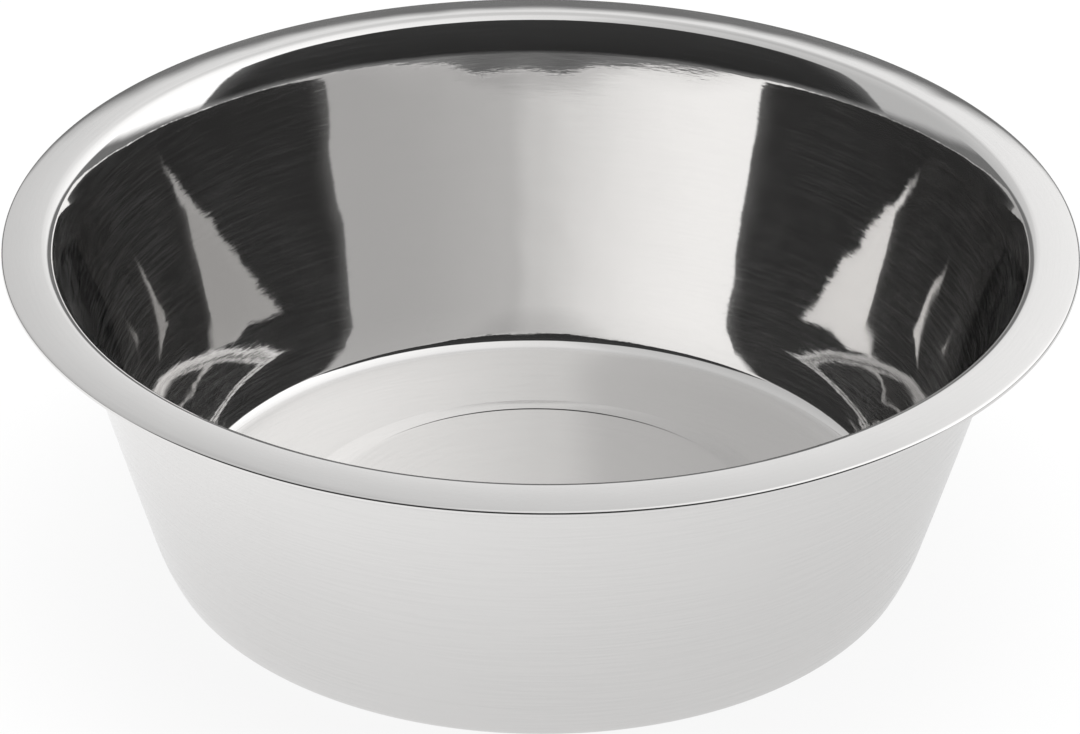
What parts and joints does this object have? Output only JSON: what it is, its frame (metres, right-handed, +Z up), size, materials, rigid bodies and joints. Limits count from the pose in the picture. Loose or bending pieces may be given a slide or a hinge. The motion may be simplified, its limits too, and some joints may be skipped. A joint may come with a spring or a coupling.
{
  "type": "pet feeding bowl",
  "caption": "Polished stainless steel feeding bowl with sloping wall, wide turned-out rim with folded edge, raised floor centre and a non-slip ring below.",
  "frame": {"origin": "on the bowl's axis, in the plane that it rests on", "axes": "+Z up along the bowl's axis, out of its mouth; X and Y are any two level directions, since the bowl is round"},
  "size_m": [0.255, 0.255, 0.085],
  "materials": {
    "stainless_steel": "mirror-polished stainless steel with very fine polishing marks around the axis",
    "rubber": "moulded black rubber, matt"
  },
  "bodies": {
    "root": {"bowl_shell": "stainless_steel", "nonslip_ring": "rubber"}
  },
  "joints": []
}
